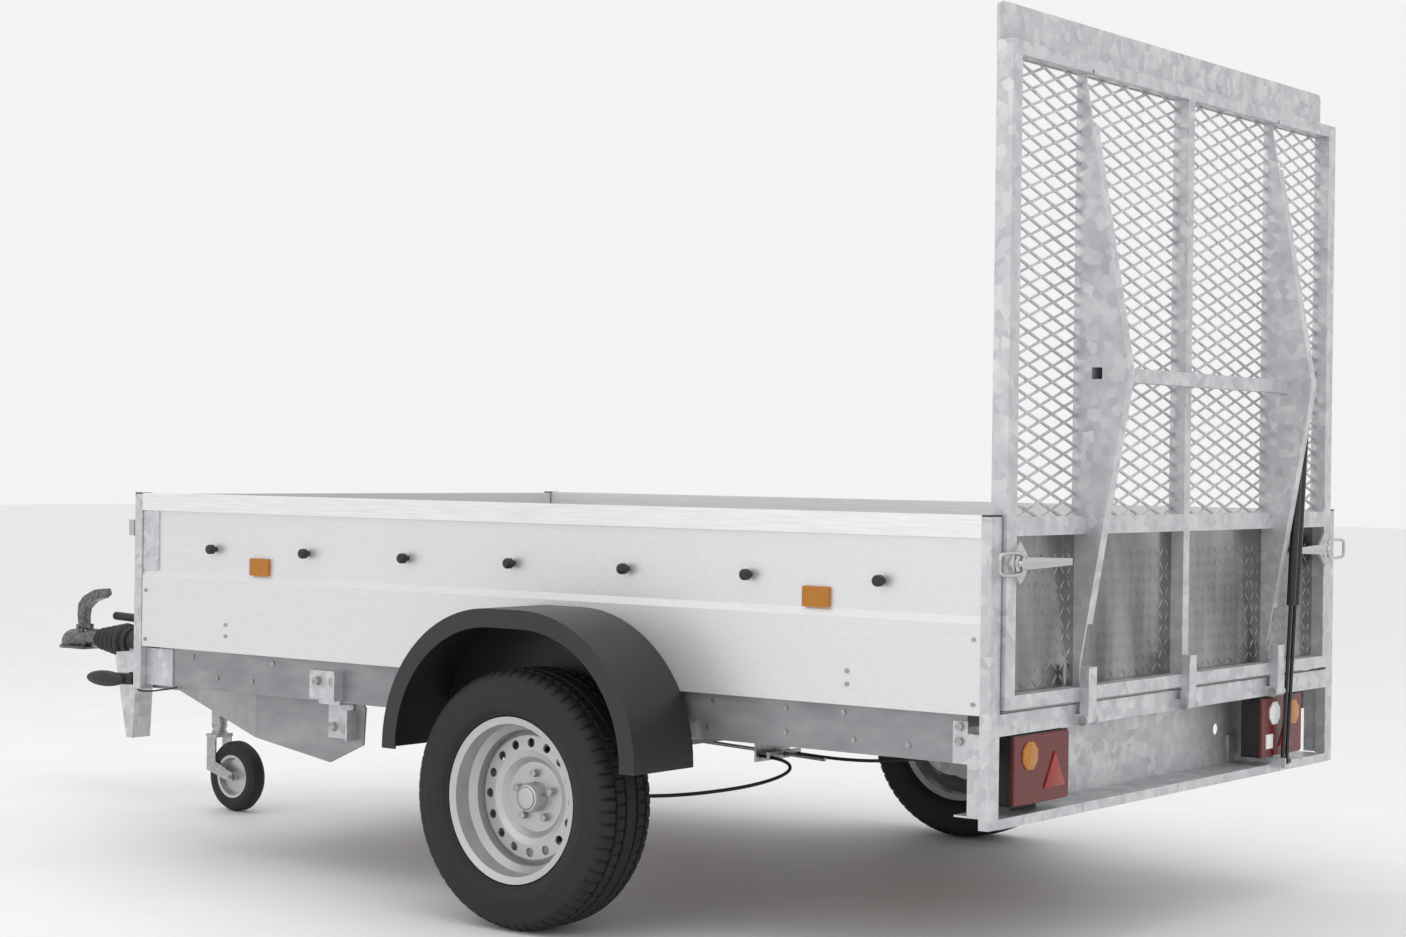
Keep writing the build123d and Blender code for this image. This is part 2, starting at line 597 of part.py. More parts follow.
def jockey_tyre():
    x, y = JOCKEY_X - JOCKEY_TRAIL, JOCKEY_Y
    profile = [(66.5, y - 19), (67, y - 24), (84, y - 27), (100, y - 22), (JOCKEY_R, y - 10),
               (JOCKEY_R, y + 10), (100, y + 22), (84, y + 27), (67, y + 24), (66.5, y + 19), (60.5, y + 16),
               (60.5, y - 16)]
    return revolve_y(profile, x, JOCKEY_R)


def wheel_chock():
    """Folded wedge, open at the back, hung point down on the drawbar."""
    wedge = plate_xz([(3660, 462), (3748, 462), (3752, 440), (3694, 190), (3664, 190), (3650, 400)], (79, 150))
    inside = plate_xz([(3667, 452), (3741, 452), (3744, 436), (3690, 198), (3669, 198), (3657, 400)], (75, 146.5))
    hook = block((3680, 3726), (70.5, 84), (458.5, 462))
    return wedge - inside + hook


def marker_lamp():
    """Lamp head on a rubber arm that stands out from the front corner."""
    arm = block((2782, 2812), (806, 850), (461, 495)) + block((BODY_FRONT, 2790), (806, 850), (456, 500))
    head = Pos(2890, 868, 474) * scale(Sphere(1), by=(78, 22, 22))
    boom = Pos(2842, 858, 476) * Rot(0, 0, 22) * Box(90, 26, 30)
    return arm + boom + head


# ---------------------------------------------------------------- ramp
def ramp_frame():
    """Welded frame: two uprights, a centre post, top, middle and bottom rails."""
    x = (RAMP_BACK, RAMP_FRONT)
    inner = RAMP_HALF - TUBE
    wall = 3.0
    below = RAMP_BOTTOM - 1
    side = block(x, (inner, RAMP_HALF), (RAMP_BOTTOM, RAMP_TOP))
    latch_plate = Pos(RAMP_BACK - 3, 770, 893) * Rot(0, 90, 0) * Rot(0, 0, 45) * Box(66, 66, 6)
    frame = side + right_side(side) + latch_plate + right_side(latch_plate)
    frame += block(x, (-15, 15), (RAMP_BOTTOM, RAMP_TOP))
    side_core = block((x[0] + wall, x[1] - wall), (inner + wall, RAMP_HALF - wall), (below, RAMP_TOP - wall))
    post_core = block((x[0] + wall, x[1] - wall), (-15 + wall, 15 - wall), (below, RAMP_TOP - wall))
    cores = side_core + right_side(side_core) + post_core
    for low, high in ((RAMP_BOTTOM, 612), (951, 991), (RAMP_TOP - 30, RAMP_TOP)):
        frame += block((x[0], x[1] - 8), (-inner - 1, inner + 1), (low, high))
        cores += block((x[0] + wall, x[1] - 8 - wall), (-inner - wall, inner + wall), (low + wall, high - wall))
    frame -= cores
    for y in (-WEB_Y, WEB_Y):
        frame -= block((x[0] - 1, x[1] + 1), (y - 3.3, y + 3.3), (RAMP_BOTTOM + 20, RAMP_TOP - 22))
    return frame


def ramp_web(side):
    """Deep tapered stiffener with a folded edge, widest where the cross tube passes."""
    y = side * WEB_Y
    edge = [(5, 660), (WEB_APEX_X, WEB_APEX_Z - 6), (WEB_APEX_X, WEB_APEX_Z + 6), (10, 1976)]
    web = plate_xz([(RAMP_FRONT, RAMP_BOTTOM + 20.5)] + [(5, RAMP_BOTTOM + 20.5)] + edge + [(RAMP_FRONT, 1981.5)],
                   (y - 3, y + 3))
    lower = plate_xz([edge[0], edge[1], (edge[1][0] + 4, edge[1][1]), (edge[0][0] + 4, edge[0][1])],
                     (y - 25, y + 3))
    upper = plate_xz([edge[2], edge[3], (edge[3][0] + 4, edge[3][1]), (edge[2][0] + 4, edge[2][1])],
                     (y - 25, y + 3))
    knee = plate_xz([edge[1], edge[2], (edge[2][0] + 4, edge[2][1]), (edge[1][0] + 4, edge[1][1])], (y - 25, y + 3))
    fold_clear = block((RAMP_BACK - 1, RAMP_FRONT + 1), (y - 30, y - 3), (600, 2000))
    flange = lower + upper + knee - fold_clear
    window = block((-46, -14), (y - 10, y + 10), (WEB_APEX_Z - 16, WEB_APEX_Z + 16))
    web = web + flange - window
    if side < 0:
        web += rod_y(STRUT_TOP[0], (STRUT_YS[1] - 16, y), STRUT_TOP[1], 6)
    return web


def ramp_cross_tube():
    """Square tube through both webs."""
    y = WEB_Y + 3
    z = (WEB_APEX_Z - 16, WEB_APEX_Z + 16)
    tube = block((-46, -14), (-y, y), z)
    return tube - block((-43, -17), (-y, y), (z[0] + 3, z[1] - 3))


def ramp_bays():
    """The four clear bays between the ramp's uprights, as spans along Y."""
    edges = [-(RAMP_HALF - TUBE), -WEB_Y - 3.5, -WEB_Y + 3.5, -15, 15, WEB_Y - 3.5, WEB_Y + 3.5, RAMP_HALF - TUBE]
    return [(edges[k] + 0.5, edges[k + 1] - 0.5) for k in range(0, 8, 2)]


def ramp_mesh():
    """Expanded metal, four sheets; each is a lattice of crossing strands."""
    sheets = []
    z0, z1 = 985.0, 1982.0
    pitch_z, strand = 84.0, 3.5
    for low, high in ramp_bays():
        width = high - low
        border = block((RAMP_FRONT - 7.5, RAMP_FRONT - 4), (low, high), (z0, z1))
        border -= block((RAMP_FRONT - 8, RAMP_FRONT - 3), (low + 5, high - 5), (z0 + 8, z1 - 8))
        rise = width * 0.39
        strands = []
        z = z0 - rise
        while z < z1 + rise:
            for way in (-1, 1):
                lean = degrees(atan2(way * rise, width))
                bar = Pos(RAMP_FRONT - 5.75, (low + high) / 2, z + rise / 2) * Rot(lean, 0, 0) * Box(
                    3.5, hypot(width, rise) + 20, strand)
                strands.append(bar)
            z += pitch_z
        limit = block((RAMP_FRONT - 7.5, RAMP_FRONT - 4), (low, high), (z0, z1))
        lattice = strands[0].fuse(*strands[1:])
        sheets.append((lattice & limit) + border)
    return sheets


def ramp_plates():
    """Four chequer plates in the lower bays."""
    return [block((RAMP_FRONT - 8, RAMP_FRONT - 5.5), span, (612.5, 950.5)) for span in ramp_bays()]


def ramp_lip():
    """Plate with rounded corners along the ramp's free edge."""
    plate = block((RAMP_FRONT, RAMP_FRONT + 7), (-807, 807), (RAMP_TOP - 30, LIP_TOP))
    top_corners = plate.edges().filter_by(Axis.X).sort_by(Axis.Z)[-2:]
    return fillet(top_corners, 16)


def ramp_hinge_arm(y):
    width = (y - ARM_HALF, y + ARM_HALF)
    arm = block((-32, RAMP_BACK), width, (HINGE_Z, 657)) + rod_y(HINGE_X, width, HINGE_Z, 11)
    return arm - rod_y(HINGE_X, width, HINGE_Z, 6.05)


def ramp_latch():
    """Turning latch on the ramp: a bail over the rear post's edge, a hub and a hand lever."""
    arm = block((-29, -20), (578, 790), (880, 906))
    hub = rod_x((-34, -16.3), 772, 893, 11)
    bail = block((-28, -20), (776, 868), (866, 874)) + block((-28, -20), (776, 868), (912, 920))
    bail += block((-28, -20), (861, 869), (866, 920))
    return arm + hub + bail


# ---------------------------------------------------------------- gas struts
def along_strut(start, end, y, r):
    dx, dz = STRUT_FOOT[0] - STRUT_TOP[0], STRUT_FOOT[1] - STRUT_TOP[1]
    tilt = degrees(atan2(dx, dz))
    return Pos(STRUT_TOP[0], y, STRUT_TOP[1]) * Rot(0, tilt, 0) * Pos(0, 0, (start + end) / 2) * Cylinder(
        r, abs(end - start))


def strut_tube(y):
    """Pressure tube with its upper eye on a stud in the ramp's web."""
    eye = rod_y(STRUT_TOP[0], (y - 10, y + 10), STRUT_TOP[1], 13)
    tube = along_strut(8, STRUT_TUBE_END, y, 11) + eye
    return tube - along_strut(26, STRUT_TUBE_END + 1, y, 5.06) - rod_y(STRUT_TOP[0], (y - 12, y + 12), STRUT_TOP[1], 6.05)


def strut_length():
    return hypot(STRUT_FOOT[0] - STRUT_TOP[0], STRUT_FOOT[1] - STRUT_TOP[1])


def strut_rod(y):
    rod = along_strut(285, strut_length() - 4, y, 5) + rod_y(STRUT_FOOT[0], (y - 9, y + 9), STRUT_FOOT[1], 9)
    stud_end = -503.4 if y == STRUT_YS[0] else STRUT_YS[0] - 9.3
    return rod + rod_y(STRUT_FOOT[0], (y, stud_end), STRUT_FOOT[1], 5)


# ---------------------------------------------------------------- fasteners
def fasteners():
    """Button heads on the panels, hexagon heads on the frame and the ramp's hinge bolts."""
    found = []
    panel_stations = [(2733, 727), (2733, 592), (2403, 647), (2403, 616), (368, 647), (368, 618), (43, 732), (43, 595)]
    rail_stations = [(550, 551), (550, 499), (756, 555), (807, 501), (772, 494), (392, 553), (364, 494),
                     (220, 494), (1560, 551), (1720, 499), (2240, 551), (2320, 499), (2560, 551), (2460, 499)]
    end_plate_stations = [(86, 545), (86, 513)]
    bracket_stations = [(2060, 518), (1998, 518)]
    for x, z in panel_stations:
        found.append(rod_y(x, (858, 861), z, 5))
    for x, z in rail_stations:
        found.append(rod_y(x, (FRAME_OUTER, FRAME_OUTER + 3), z, 6))
    for x, z in end_plate_stations:
        found.append(hex_head(x, FRAME_OUTER + 4, z, 17, 8))
    for x, z in bracket_stations:
        found.append(hex_head(x, FRAME_OUTER + 6, z, 22, 12))
    for x, z in [(2034, 398), (1988, 394)]:
        found.append(hex_head(x, 806, z, 22, 12))
    found = both_sides(found)
    for y in (-480, 0, 480):
        bolt = rod_y(HINGE_X, (y - 30, y + 28), HINGE_Z, 6)
        head = rod_y(HINGE_X, (y + 24, y + 30), HINGE_Z, 10)
        nut = rod_y(HINGE_X, (y - 31, y - 24), HINGE_Z, 10)
        found.append(bolt + head + nut)
    return found


# ---------------------------------------------------------------- write every node
save("side_rails", both_sides([side_rail()]))
save("cross_members", [cross_member(x) for x in (300, 800, 1640, 2140, 2700)])
save("drawbar_beams", both_sides([drawbar_beam()]))
save("bolted_brackets", both_sides([rail_bracket(), front_corner_plate(), panel_striker(), rail_end_plate(),
                                    front_hinge_leaf(560)]) + [chock_holder()])
save("fasteners", fasteners())

rear_post = hollow_tube_z((0, 25), (820, HALF_WIDTH), (331, 992), 3)
front_post = hollow_tube_z((BODY_FRONT - 30, BODY_FRONT), (825, HALF_WIDTH), (453, 992), 3)
save("corner_posts", both_sides([rear_post, front_post]))
rear_cap = block((0, 25), (820, HALF_WIDTH), (992, 996))
front_cap = block((BODY_FRONT - 30, BODY_FRONT), (825, HALF_WIDTH), (992, 996))
save("post_caps", both_sides([rear_cap, front_cap]))

save("hinge_beam", hinge_beam())
save("light_board_channel", light_board_channel())
save("light_board_plate", light_board_plate())
LAMP_YS = (652, -545)
save("tail_lamp_housings", [tail_lamp(y, "housing") for y in LAMP_YS])
save("tail_lamp_lenses", [tail_lamp(y, "lens") for y in LAMP_YS])
save("strut_bracket", strut_bracket())

save("floor_panel", block((45, 2745), (-849, 849), (WALL_BOTTOM + SKIN, 590)))
save("side_panels", both_sides([side_panel()]))
save("top_rails", both_sides([top_rail()]))
save("tarp_knobs", both_sides([tarp_knob(280 + 362 * k) for k in range(7)]))
save("side_reflectors", both_sides([side_reflector(455), side_reflector(2272)]))
save("mudguards", both_sides([mudguard()]))

save("axle_tube", axle_tube())
save("cables", both_sides([brake_cable()]) + [marker_cable()])
save("brake_linkage", brake_linkage())
save("overrun_housing", overrun_housing())
save("marker_lamps", both_sides([marker_lamp()]))
save("jockey_clamp", jockey_clamp())

save("front_board", front_board())
save("front_latch_left", front_latch())
save("front_latch_right", right_side(front_latch()))

wheel_parts = {"swing_arm": [swing_arm()], "brake_drum": [brake_drum()], "rim": [rim()], "tyre": [tyre()],
               "wheel_bolts": wheel_bolts()}
for part, solids in wheel_parts.items():
    save(f"{part}_left", solids)
    save(f"{part}_right", [right_side(s) for s in solids])

save("drawbar_tube", drawbar_tube())
save("coupling_head", coupling_head())
save("coupling_handle", coupling_handle())
save("bellows", bellows())
save("handbrake_lever", handbrake_lever())

save("jockey_tube", jockey_tube())
save("jockey_spindle", jockey_spindle())
save("jockey_fork", jockey_fork())
save("jockey_crank", jockey_crank())
save("jockey_rim", jockey_rim())
save("jockey_tyre", jockey_tyre())
save("wheel_chock", wheel_chock())

save("ramp_frame", ramp_frame())
save("ramp_webs", [ramp_web(1), ramp_web(-1), ramp_cross_tube()])
save("ramp_mesh", ramp_mesh())
save("ramp_plates", ramp_plates())
save("ramp_lip", ramp_lip())
save("ramp_hinge_arms", [ramp_hinge_arm(y) for y in (-480, 0, 480)])
save("ramp_latch_left", ramp_latch())
save("ramp_latch_right", right_side(ramp_latch()))
save("gas_strut_tubes", [strut_tube(y) for y in STRUT_YS])
save("gas_strut_rods", [strut_rod(y) for y in STRUT_YS])
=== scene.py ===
import bpy
import bmesh
from math import cos, pi, radians, sin
from mathutils import Matrix, Vector


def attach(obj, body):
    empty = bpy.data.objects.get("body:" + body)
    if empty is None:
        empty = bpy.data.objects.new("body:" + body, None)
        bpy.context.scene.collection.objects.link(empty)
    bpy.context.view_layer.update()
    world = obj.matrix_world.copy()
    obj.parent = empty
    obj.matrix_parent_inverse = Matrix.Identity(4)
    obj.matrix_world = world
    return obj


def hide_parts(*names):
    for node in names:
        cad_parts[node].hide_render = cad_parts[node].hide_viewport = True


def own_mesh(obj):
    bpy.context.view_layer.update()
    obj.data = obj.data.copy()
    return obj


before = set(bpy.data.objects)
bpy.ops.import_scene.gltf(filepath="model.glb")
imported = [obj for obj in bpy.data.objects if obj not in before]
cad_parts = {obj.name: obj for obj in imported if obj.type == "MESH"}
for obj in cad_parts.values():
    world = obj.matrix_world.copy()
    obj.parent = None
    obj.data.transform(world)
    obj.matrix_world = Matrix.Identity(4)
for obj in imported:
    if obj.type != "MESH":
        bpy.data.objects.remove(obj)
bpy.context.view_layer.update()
scene = bpy.context.scene

# ---- Camera. Eye height, standing behind the trailer's left rear corner, level, with a longish lens.
eye = bpy.data.cameras.new("eye")
eye.sensor_width = 36.0
eye.lens = 63.41
eye.shift_x = -0.0477
eye_object = bpy.data.objects.new("eye", eye)
scene.collection.objects.link(eye_object)
heading, tilt, lean = -0.928, -0.0022, 0.0129
forward = Vector((cos(tilt) * cos(heading), cos(tilt) * sin(heading), sin(tilt)))
level_right = forward.cross(Vector((0, 0, 1))).normalized()
level_up = level_right.cross(forward)
right = cos(lean) * level_right + sin(lean) * level_up
up = cos(lean) * level_up - sin(lean) * level_right
turn = Matrix((right, up, -forward)).transposed().to_4x4()
eye_object.matrix_world = Matrix.Translation((-4.7921, 5.3008, 1.0996)) @ turn
scene.camera = eye_object

# ---- Studio. A pale floor that meets a pale surround, one wide soft light overhead and two at the sides.
world = bpy.data.worlds.new("surround")
scene.world = world
world.use_nodes = True
world.node_tree.nodes["Background"].inputs["Color"].default_value = (1.0, 1.0, 1.0, 1)
world.node_tree.nodes["Background"].inputs["Strength"].default_value = 0.9
scene.view_settings.view_transform = "Standard"


def soft_light(name, place, target, size, power):
    lamp = bpy.data.lights.new(name, "AREA")
    lamp.shape = "RECTANGLE"
    lamp.size, lamp.size_y = size
    lamp.energy = power
    holder = bpy.data.objects.new(name, lamp)
    holder.location = place
    aim = Vector(target) - Vector(place)
    holder.rotation_euler = aim.to_track_quat("-Z", "Y").to_euler()
    scene.collection.objects.link(holder)


soft_light("overhead", (0.0, 0.5, 5.0), (0, 0, 0.5), (7.0, 5.0), 70)
soft_light("left_bank", (0.5, 6.0, 2.6), (0, 0, 0.8), (5.0, 2.5), 26)
soft_light("rear_bank", (-7.0, 0.5, 2.4), (-2, 0, 1.0), (3.5, 3.0), 16)

floor_shape = bmesh.new()
bmesh.ops.create_grid(floor_shape, x_segments=2, y_segments=2, size=40)
floor_mesh = bpy.data.meshes.new("studio_floor")
floor_shape.to_mesh(floor_mesh)
floor_shape.free()
floor = bpy.data.objects.new("studio_floor", floor_mesh)
scene.collection.objects.link(floor)


def finish(name, colour, metallic, roughness):
    """A material with its shader, and an Object coordinate output to hang patterns on."""
    made = bpy.data.materials.new(name)
    made.use_nodes = True
    shader = made.node_tree.nodes["Principled BSDF"]
    shader.inputs["Base Color"].default_value = (*colour, 1)
    shader.inputs["Metallic"].default_value = metallic
    shader.inputs["Roughness"].default_value = roughness
    place = made.node_tree.nodes.new("ShaderNodeTexCoord")
    return made, shader, place.outputs["Object"]


def pattern(made, place, kind, scale, stretch=(1, 1, 1), detail=3.0):
    """A noise or cell pattern on Object coordinates, stretched per axis."""
    nodes, links = made.node_tree.nodes, made.node_tree.links
    mapping = nodes.new("ShaderNodeMapping")
    mapping.inputs["Scale"].default_value = stretch
    links.new(place, mapping.inputs["Vector"])
    texture = nodes.new(kind)
    texture.inputs["Scale"].default_value = scale
    if kind == "ShaderNodeTexNoise":
        texture.inputs["Detail"].default_value = detail
    links.new(mapping.outputs["Vector"], texture.inputs["Vector"])
    return texture


def tones(made, source, stops, target):
    """A colour ramp from a pattern's value to a shader input."""
    ramp = made.node_tree.nodes.new("ShaderNodeValToRGB")
    ramp.color_ramp.elements[0].position = stops[0][0]
    ramp.color_ramp.elements[0].color = (*stops[0][1], 1)
    ramp.color_ramp.elements[1].position = stops[-1][0]
    ramp.color_ramp.elements[1].color = (*stops[-1][1], 1)
    for position, colour in stops[1:-1]:
        ramp.color_ramp.elements.new(position).color = (*colour, 1)
    made.node_tree.links.new(source, ramp.inputs["Fac"])
    made.node_tree.links.new(ramp.outputs["Color"], target)


def relief(made, source, shader, strength, distance):
    """A bump from a pattern's value."""
    bump = made.node_tree.nodes.new("ShaderNodeBump")
    bump.inputs["Strength"].default_value = strength
    bump.inputs["Distance"].default_value = distance
    made.node_tree.links.new(source, bump.inputs["Height"])
    made.node_tree.links.new(bump.outputs["Normal"], shader.inputs["Normal"])


def grey(value, blue=0.0):
    return (value, value + blue * 0.4, value + blue)


def dress(made, *nodes):
    for node in nodes:
        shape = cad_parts[node]
        shape.data.materials.clear()
        shape.data.materials.append(made)


def new_piece(name, shape, made, body, smooth=True):
    """Turns a bmesh into a named piece that rides on a body and takes its finish from a slot."""
    bmesh.ops.recalc_face_normals(shape, faces=shape.faces[:])
    for face in shape.faces:
        face.smooth = smooth
    mesh = bpy.data.meshes.new(name)
    shape.to_mesh(mesh)
    shape.free()
    mesh.materials.append(made)
    piece = bpy.data.objects.new(name, mesh)
    scene.collection.objects.link(piece)
    if smooth:
        mesh.set_sharp_from_angle(angle=radians(35))
    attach(piece, body)
    return piece


floor_finish, floor_shader, floor_place = finish("studio_floor", grey(0.88), 0.0, 0.6)
floor_grain = pattern(floor_finish, floor_place, "ShaderNodeTexNoise", 3.0)
tones(floor_finish, floor_grain.outputs["Fac"], [(0.3, grey(0.87)), (0.7, grey(0.9))],
      floor_shader.inputs["Base Color"])
floor_mesh.materials.append(floor_finish)

# ---- Sides and front board. Folded aluminium sheet with a fine brushed grain along the trailer, under
# hollow extruded top rails. The panels are riveted and screwed to the posts.
aluminium, aluminium_shader, aluminium_place = finish("brushed_aluminium", grey(0.8), 0.55, 0.38)
grain = pattern(aluminium, aluminium_place, "ShaderNodeTexNoise", 1300, (0.05, 1, 1), 4.0)
tones(aluminium, grain.outputs["Fac"], [(0.3, grey(0.7, 0.01)), (0.7, grey(0.8, 0.01))],
      aluminium_shader.inputs["Base Color"])
relief(aluminium, grain.outputs["Fac"], aluminium_shader, 0.12, 0.0002)
dress(aluminium, "side_panels", "front_board")

rail_metal, rail_shader, rail_place = finish("rail_aluminium", grey(0.82), 0.6, 0.3)
rail_grain = pattern(rail_metal, rail_place, "ShaderNodeTexNoise", 180, (0.05, 1, 1))
tones(rail_metal, rail_grain.outputs["Fac"], [(0.3, grey(0.8, 0.01)), (0.7, grey(0.9, 0.01))],
      rail_shader.inputs["Base Color"])
dress(rail_metal, "top_rails")

# ---- Load floor. Film-faced plywood screwed down on the rails, dark brown with a pressed mesh.
ply, ply_shader, ply_place = finish("film_plywood", (0.2, 0.13, 0.09), 0.0, 0.45)
ply_weave = pattern(ply, ply_place, "ShaderNodeTexVoronoi", 260)
tones(ply, ply_weave.outputs["Distance"], [(0.0, (0.16, 0.1, 0.07)), (0.6, (0.24, 0.16, 0.11))],
      ply_shader.inputs["Base Color"])
relief(ply, ply_weave.outputs["Distance"], ply_shader, 0.4, 0.0006)
dress(ply, "floor_panel")

# ---- Galvanised steel. Posts, rear frame, ramp frame and brackets are dipped after welding, which
# leaves crystals a centimetre or two across in slightly different greys, duller where they are old.
zinc, zinc_shader, zinc_place = finish("spangled_zinc", grey(0.56, 0.03), 0.5, 0.46)
spangle = pattern(zinc, zinc_place, "ShaderNodeTexVoronoi", 46)
cloud = pattern(zinc, zinc_place, "ShaderNodeTexNoise", 14, (1, 1, 1), 5.0)
blend = zinc.node_tree.nodes.new("ShaderNodeMix")
blend.data_type = "FLOAT"
blend.inputs["Factor"].default_value = 0.55
zinc.node_tree.links.new(spangle.outputs["Color"], blend.inputs[2])
zinc.node_tree.links.new(cloud.outputs["Fac"], blend.inputs[3])
tones(zinc, blend.outputs[0], [(0.2, grey(0.46, 0.03)), (0.5, grey(0.57, 0.03)), (0.8, grey(0.7, 0.02))],
      zinc_shader.inputs["Base Color"])
tones(zinc, blend.outputs[0], [(0.2, grey(0.55)), (0.8, grey(0.34))], zinc_shader.inputs["Roughness"])
relief(zinc, cloud.outputs["Fac"], zinc_shader, 0.2, 0.001)
dress(zinc, "corner_posts", "hinge_beam", "light_board_channel", "light_board_plate", "strut_bracket",
      "ramp_frame", "ramp_webs", "ramp_lip", "ramp_hinge_arms", "jockey_clamp", "wheel_chock",
      "bolted_brackets", "axle_tube", "swing_arm_left", "swing_arm_right")

# ---- Chassis rails, cross members and drawbar. Folded pre-galvanised plate, darker and more even than
# the dipped parts, because the zinc was rolled on before the plate was bent.
plate, plate_shader, plate_place = finish("chassis_plate", grey(0.3, 0.02), 0.6, 0.45)
plate_cloud = pattern(plate, plate_place, "ShaderNodeTexNoise", 22, (0.4, 1, 1), 6.0)
tones(plate, plate_cloud.outputs["Fac"], [(0.3, grey(0.26, 0.02)), (0.7, grey(0.36, 0.02))],
      plate_shader.inputs["Base Color"])
relief(plate, plate_cloud.outputs["Fac"], plate_shader, 0.15, 0.0008)
dress(plate, "side_rails", "cross_members", "drawbar_beams")

# ---- Bright zinc plated parts: bolts, jockey wheel, brake rod and the drawbar's tube. The plating is
# thin and smooth, and wears to a duller grey.
bright, bright_shader, bright_place = finish("bright_zinc", grey(0.42), 0.9, 0.3)
bright_wear = pattern(bright, bright_place, "ShaderNodeTexNoise", 90)
tones(bright, bright_wear.outputs["Fac"], [(0.3, grey(0.32)), (0.7, grey(0.5))],
      bright_shader.inputs["Base Color"])
tones(bright, bright_wear.outputs["Fac"], [(0.3, grey(0.42)), (0.7, grey(0.24))],
      bright_shader.inputs["Roughness"])
dress(bright, "fasteners", "wheel_bolts_left", "wheel_bolts_right", "brake_linkage", "jockey_tube",
      "jockey_spindle", "jockey_fork", "jockey_crank", "drawbar_tube")

coupling_zinc, coupling_shader, coupling_place = finish("coupling_zinc", grey(0.16), 0.85, 0.34)
coupling_wear = pattern(coupling_zinc, coupling_place, "ShaderNodeTexNoise", 70)
tones(coupling_zinc, coupling_wear.outputs["Fac"], [(0.35, grey(0.1)), (0.7, grey(0.24))],
      coupling_shader.inputs["Base Color"])
relief(coupling_zinc, coupling_wear.outputs["Fac"], coupling_shader, 0.2, 0.0006)
dress(coupling_zinc, "coupling_head", "coupling_handle")

chrome, chrome_shader, chrome_place = finish("bright_chrome", grey(0.55), 1.0, 0.12)
chrome_wear = pattern(chrome, chrome_place, "ShaderNodeTexNoise", 60)
tones(chrome, chrome_wear.outputs["Fac"], [(0.3, grey(0.2)), (0.7, grey(0.08))],
      chrome_shader.inputs["Roughness"])
dress(chrome, "ramp_latch_left", "ramp_latch_right", "front_latch_left", "front_latch_right")

# ---- Black mouldings. Mudguards, post caps, knobs, lamp boxes and the brake grip are satin plastic
# with a fine leather-like grain from the mould.
moulding, moulding_shader, moulding_place = finish("satin_black", (0.025, 0.026, 0.03), 0.0, 0.42)
mould_grain = pattern(moulding, moulding_place, "ShaderNodeTexNoise", 420)
tones(moulding, mould_grain.outputs["Fac"], [(0.3, (0.012, 0.0125, 0.014)), (0.7, (0.021, 0.0215, 0.025))],
      moulding_shader.inputs["Base Color"])
relief(moulding, mould_grain.outputs["Fac"], moulding_shader, 0.2, 0.0004)
dress(moulding, "mudguards", "post_caps", "tarp_knobs", "tail_lamp_housings", "handbrake_lever")

rubber, rubber_shader, rubber_place = finish("moulded_rubber", (0.018, 0.018, 0.018), 0.0, 0.6)
rubber_dust = pattern(rubber, rubber_place, "ShaderNodeTexNoise", 120, (1, 1, 1), 6.0)
tones(rubber, rubber_dust.outputs["Fac"], [(0.3, grey(0.012)), (0.75, grey(0.035))],
      rubber_shader.inputs["Base Color"])
relief(rubber, rubber_dust.outputs["Fac"], rubber_shader, 0.15, 0.0005)
dress(rubber, "marker_lamps")

enamel, enamel_shader, enamel_place = finish("black_enamel", (0.012, 0.012, 0.013), 0.0, 0.22)
enamel_peel = pattern(enamel, enamel_place, "ShaderNodeTexNoise", 300)
relief(enamel, enamel_peel.outputs["Fac"], enamel_shader, 0.08, 0.0003)
tones(enamel, enamel_peel.outputs["Fac"], [(0.3, grey(0.01)), (0.7, grey(0.02))],
      enamel_shader.inputs["Base Color"])
dress(enamel, "gas_strut_tubes", "gas_strut_rods")

# ---- Brake drums and overrun housing. Bare grey castings with a coarse skin, the drums hidden
# behind the wheel discs and the housing on the drawbar.
casting, casting_shader, casting_place = finish("bare_casting", grey(0.12), 0.4, 0.65)
casting_skin = pattern(casting, casting_place, "ShaderNodeTexNoise", 200, (1, 1, 1), 8.0)
tones(casting, casting_skin.outputs["Fac"], [(0.3, grey(0.02)), (0.7, grey(0.06))],
      casting_shader.inputs["Base Color"])
relief(casting, casting_skin.outputs["Fac"], casting_shader, 0.4, 0.001)
dress(casting, "brake_drum_left", "brake_drum_right", "overrun_housing")

# ---- Road wheels. Pressed steel discs welded in their barrels, silver enamel, with a pressed hub cap.
# Tyres are radials with four grooves round the crown and cross grooves cut in both shoulders.
silver, silver_shader, silver_place = finish("wheel_silver", grey(0.66), 0.65, 0.36)
silver_fleck = pattern(silver, silver_place, "ShaderNodeTexNoise", 900)
tones(silver, silver_fleck.outputs["Fac"], [(0.3, grey(0.48)), (0.7, grey(0.58))],
      silver_shader.inputs["Base Color"])
relief(silver, silver_fleck.outputs["Fac"], silver_shader, 0.06, 0.0002)
dress(silver, "rim_left", "rim_right", "jockey_rim")

tread, tread_shader, tread_place = finish("tyre_rubber", grey(0.03), 0.0, 0.68)
tread_dust = pattern(tread, tread_place, "ShaderNodeTexNoise", 70, (1, 1, 1), 7.0)
tones(tread, tread_dust.outputs["Fac"], [(0.3, grey(0.009)), (0.75, grey(0.015))],
      tread_shader.inputs["Base Color"])
relief(tread, tread_dust.outputs["Fac"], tread_shader, 0.2, 0.0008)
dress(tread, "jockey_tyre")

AXLE = Vector((-0.8595, 0, 0.306))
WHEEL_MIDDLE = 0.966


